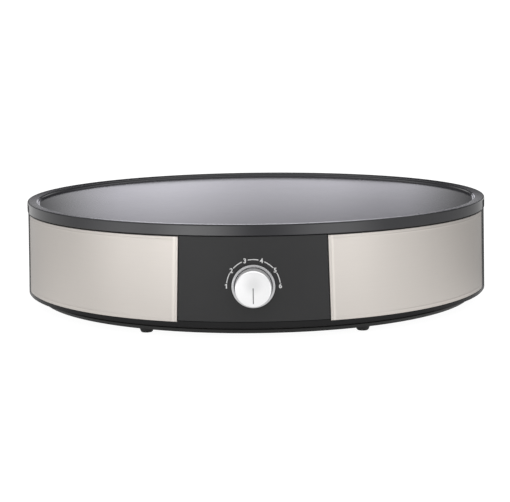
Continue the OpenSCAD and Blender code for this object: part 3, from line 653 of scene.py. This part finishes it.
def pointer():
    """Dark enamel that fills the bottom of the groove."""
    f = Y_FACE
    bm = bmesh.new()
    rows = []
    outline = stadium(POINT_HALF + 0.01, POINT_TOP + 0.01, POINT_END - 0.01, 10)
    for depth in (POINT_DEPTH + 0.05, POINT_DEPTH - 0.16):
        rows.append([bm.verts.new(Vector((x, -(f - DOME * (z / FACE_R) ** 2 - depth), KNOB_Z + z)) * MM) for x, z in outline])
    n = len(outline)
    for k in range(n):
        bm.faces.new((rows[0][k], rows[0][(k + 1) % n], rows[1][(k + 1) % n], rows[1][k]))
    for row in rows:
        face = bm.faces.new(row)
        bmesh.ops.triangulate(bm, faces=[face])
    return piece("pointer_line", bm, None, "knob", mat=ENAMEL, angle=30.0)


knob_face()
pointer()

# ---------------------------------------------------------------- camera

CAM_POS = Vector((0.01725, -1.31473, 0.23819))
YAW, PITCH, ROLL, FOCAL = -0.01408, 0.15064, -0.01227, 1494.2
fwd = Vector((math.sin(YAW) * math.cos(PITCH), math.cos(YAW) * math.cos(PITCH), -math.sin(PITCH)))
right = Vector((math.cos(YAW), -math.sin(YAW), 0.0))
up = right.cross(fwd)
r2 = right * math.cos(ROLL) + up * math.sin(ROLL)
u2 = -right * math.sin(ROLL) + up * math.cos(ROLL)
cam_data = bpy.data.cameras.new("camera")
cam_data.sensor_width = 36.0
cam_data.lens = FOCAL / 510.0 * 36.0
cam_data.clip_start, cam_data.clip_end = 0.05, 100.0
cam = bpy.data.objects.new("camera", cam_data)
cam.matrix_world = Matrix((
    (r2.x, u2.x, -fwd.x, CAM_POS.x),
    (r2.y, u2.y, -fwd.y, CAM_POS.y),
    (r2.z, u2.z, -fwd.z, CAM_POS.z),
    (0, 0, 0, 1)))
bpy.context.scene.collection.objects.link(cam)
bpy.context.scene.camera = cam

# ---------------------------------------------------------------- floor and light

scene = bpy.context.scene
scene.view_settings.view_transform = "Standard"
scene.view_settings.look = "None"


def plane(name, z):
    b = bmesh.new()
    for x, y in ((-14, -14), (14, -14), (14, 14), (-14, 14)):
        b.verts.new((x, y, z))
    b.faces.new(b.verts)
    me = bpy.data.meshes.new(name)
    b.to_mesh(me)
    b.free()
    obj = bpy.data.objects.new(name, me)
    scene_link(obj)
    obj.visible_transmission = obj.visible_volume_scatter = False
    return obj


def turns(n, x, y):
    """Azimuth of (x, y) from the front (-Y) to the right, as 0 to 1 with the front at 0.5."""
    a = n.math("ARCTAN2", x, n.math("MULTIPLY", y, -1.0))
    return n.math("ADD", n.math("MULTIPLY", a, 0.5 / math.pi), 0.5)


def round_about(n, turn, stops, top=2.0):
    """A brightness that goes round with the azimuth: stops are (degrees, brightness)."""
    r = n.node("ValToRGB")
    r.color_ramp.interpolation = "B_SPLINE"
    el = r.color_ramp.elements
    while len(el) < len(stops):
        el.new(0.5)
    for e, (deg, v) in zip(el, stops):
        e.position = deg / 360.0 + 0.5
        e.color = (v / top, v / top, v / top, 1.0)
    n.link(turn, r.inputs[0])
    return n.math("MULTIPLY", r.outputs[0], top)


# the white sweep that the camera sees
floor = plane("floor", 0.0)
floor.visible_glossy = floor.visible_diffuse = False
fm = Mat("floor")
fm.set(Base_Color=(0.16, 0.16, 0.16), Roughness=0.9, Specular_IOR_Level=0.0, Emission_Color=(1, 1, 1),
       Emission_Strength=0.965)
floor.data.materials.append(fm.m)

# the same sweep as the object sees it: an emitter with pools of light painted at the front, and painted darker behind
sweep = plane("sweep", -0.0005)
sweep.visible_camera = False
sm = bpy.data.materials.new("sweep")
sm.use_nodes = True
n = Nodes(sm.node_tree)
px, py, pz = n.xyz()
rad = n.math("SQRT", n.math("ADD", n.math("MULTIPLY", px, px), n.math("MULTIPLY", py, py)))
turn = turns(n, px, py)
FLOOR_ROUND = ((-180, 1.00), (-150, 0.90), (-122, 0.76), (-95, 0.86), (-75, 0.97), (-55, 1.00), (-20, 1.00), (0, 1.00),
               (20, 1.00), (55, 1.10), (75, 0.97), (95, 0.71), (115, 0.58), (135, 0.56), (152, 0.84), (180, 1.00))
glow = round_about(n, turn, FLOOR_ROUND)


def patch(deg, half, strength):
    """A soft pool of light on the sweep, centred at an azimuth."""
    off = n.math("ABSOLUTE", n.math("SUBTRACT", turn, deg / 360.0 + 0.5))
    pool = n.remap(off, 0.1 * half / 360.0, half / 360.0, strength, 0.0, True)
    pool = n.math("MULTIPLY", pool, n.remap(rad, 0.42, 0.62, 0.0, 1.0, True))
    return n.math("MULTIPLY", pool, n.remap(rad, 1.0, 1.4, 1.0, 0.0, True))


glow = n.math("ADD", glow, n.math("ADD", patch(-22, 24, 2.0), patch(-48, 40, 1.35)))
glow = n.math("ADD", glow, patch(33, 28, 1.45))
# painted shadow: the sweep's glow drops to a tenth beneath the object, standing in for the shadow it casts
glow = n.math("MULTIPLY", glow, n.remap(rad, 0.165, 0.210, 0.10, 1.0, True))
# two dark wedges that run back from its sides and edge it in the front view
aside = n.math("SUBTRACT", n.math("ABSOLUTE", px), 0.195)
behind = n.math("ADD", py, 0.045)
strip = n.math("MULTIPLY", n.remap(n.math("MULTIPLY_ADD", behind, -0.13, aside), 0.0, 0.006, 0.0, 1.0, True),
               n.remap(n.math("MULTIPLY_ADD", behind, -0.42, aside), -0.006, 0.001, 1.0, 0.0, True))
strip = n.math("MULTIPLY", strip, n.remap(py, 0.70, 0.90, 1.0, 0.0))
glow = n.math("MULTIPLY", glow, n.math("MULTIPLY_ADD", strip, -0.97, 1.0))
em = n.node("Emission")
n.link(glow, em.inputs["Strength"])
n.link(em.outputs[0], n.node("OutputMaterial").inputs[0])
sweep.data.materials.append(sm)

world = bpy.data.worlds.new("studio")
scene.world = world
world.use_nodes = True
w = Nodes(world.node_tree)
dx, dy, dz = w.xyz(w.node("TexCoord").outputs["Generated"])


def plus(*terms):
    total = terms[0]
    for t in terms[1:]:
        total = w.math("ADD", total, t)
    return total


def blend(fac, a, b):
    """a where fac is 0, b where it is 1."""
    return plus(w.math("MULTIPLY", a, w.math("SUBTRACT", 1.0, fac)), w.math("MULTIPLY", b, fac))


SKY_ROUND = ((-180, 0.13), (-174, 0.02), (-164, 0.02), (-156, 1.15), (-110, 0.90), (-82, 1.00), (-50, 1.05), (-32, 0.85), (-14, 0.42),
             (14, 0.42), (32, 0.85), (50, 1.10), (75, 1.00), (100, 0.66), (124, 0.56), (140, 0.80), (156, 1.15), (164, 0.02), (174, 0.02), (180, 0.13))
around = round_about(w, turns(w, dx, dy), SKY_ROUND)
sky = blend(w.remap(dz, 0.42, 0.85, 0.0, 1.0, True), around, 1.30)
sky = blend(w.remap(dz, 0.03, 0.05, 1.0, 0.0, True), sky, 0.20)
# dim screens high on both sides
screens = round_about(w, turns(w, dx, dy), ((-180, 1.0), (-172, 0.9), (-162, 0.25), (-125, 0.25), (-92, 0.40), (-68, 1.0), (68, 1.0),
                                            (92, 0.40), (125, 0.25), (162, 0.25), (172, 0.9), (180, 1.0)), 1.0)
height = w.math("MULTIPLY", w.remap(dz, 0.10, 0.26, 0.0, 1.0, True), w.remap(dz, 0.45, 0.75, 1.0, 0.0, True))
sky = w.math("MULTIPLY", sky, blend(height, 1.0, screens))
# the bright card low behind the object
back = w.math("ARCTAN2", dx, dy)
card = w.math("MULTIPLY", w.remap(back, -0.180, -0.100, 0.0, 1.0, True), w.remap(back, 0.080, 0.150, 1.0, 0.0, True))
card = w.math("MULTIPLY", card, w.remap(dz, 0.160, 0.200, 1.0, 0.0, True))
card = w.math("MULTIPLY", card, w.remap(dz, -0.01, 0.0, 0.0, 1.0))
low = w.remap(w.math("ABSOLUTE", w.math("ADD", back, 0.02)), 0.05, 0.10, 1.50, 0.05, True)
glare = w.math("MINIMUM", blend(w.remap(dz, 0.060, 0.102, 0.0, 1.0), low, 1.95), w.remap(dz, 0.050, 0.158, 1.85, 0.06))
# it leans: its upper end fades later on the left
lean = w.math("MULTIPLY", w.remap(back, -0.09, 0.07, 1.0, -1.0, True), w.remap(dz, 0.104, 0.121, -1.0, 1.0, True))
gain = w.math("MULTIPLY", w.remap(back, -0.08, 0.0, 1.34, 1.0, True), w.remap(back, 0.03, 0.08, 1.0, 0.97, True))
gain = w.math("MULTIPLY", gain, w.math("MULTIPLY_ADD", lean, 0.15, 1.0))
sky = blend(card, sky, w.math("MULTIPLY", glare, gain))
# the strip on the horizon, which is white behind the object
sky = blend(w.remap(dz, 0.0185, 0.0220, 1.0, 0.0, True), sky, 1.10)
bg = w.node("Background")
w.link(w.mix(card, (1.0, 1.0, 1.0), (0.980, 0.968, 1.045)), bg.inputs["Color"])
w.link(sky, bg.inputs["Strength"])
w.link(bg.outputs[0], w.node("OutputWorld").inputs[0])
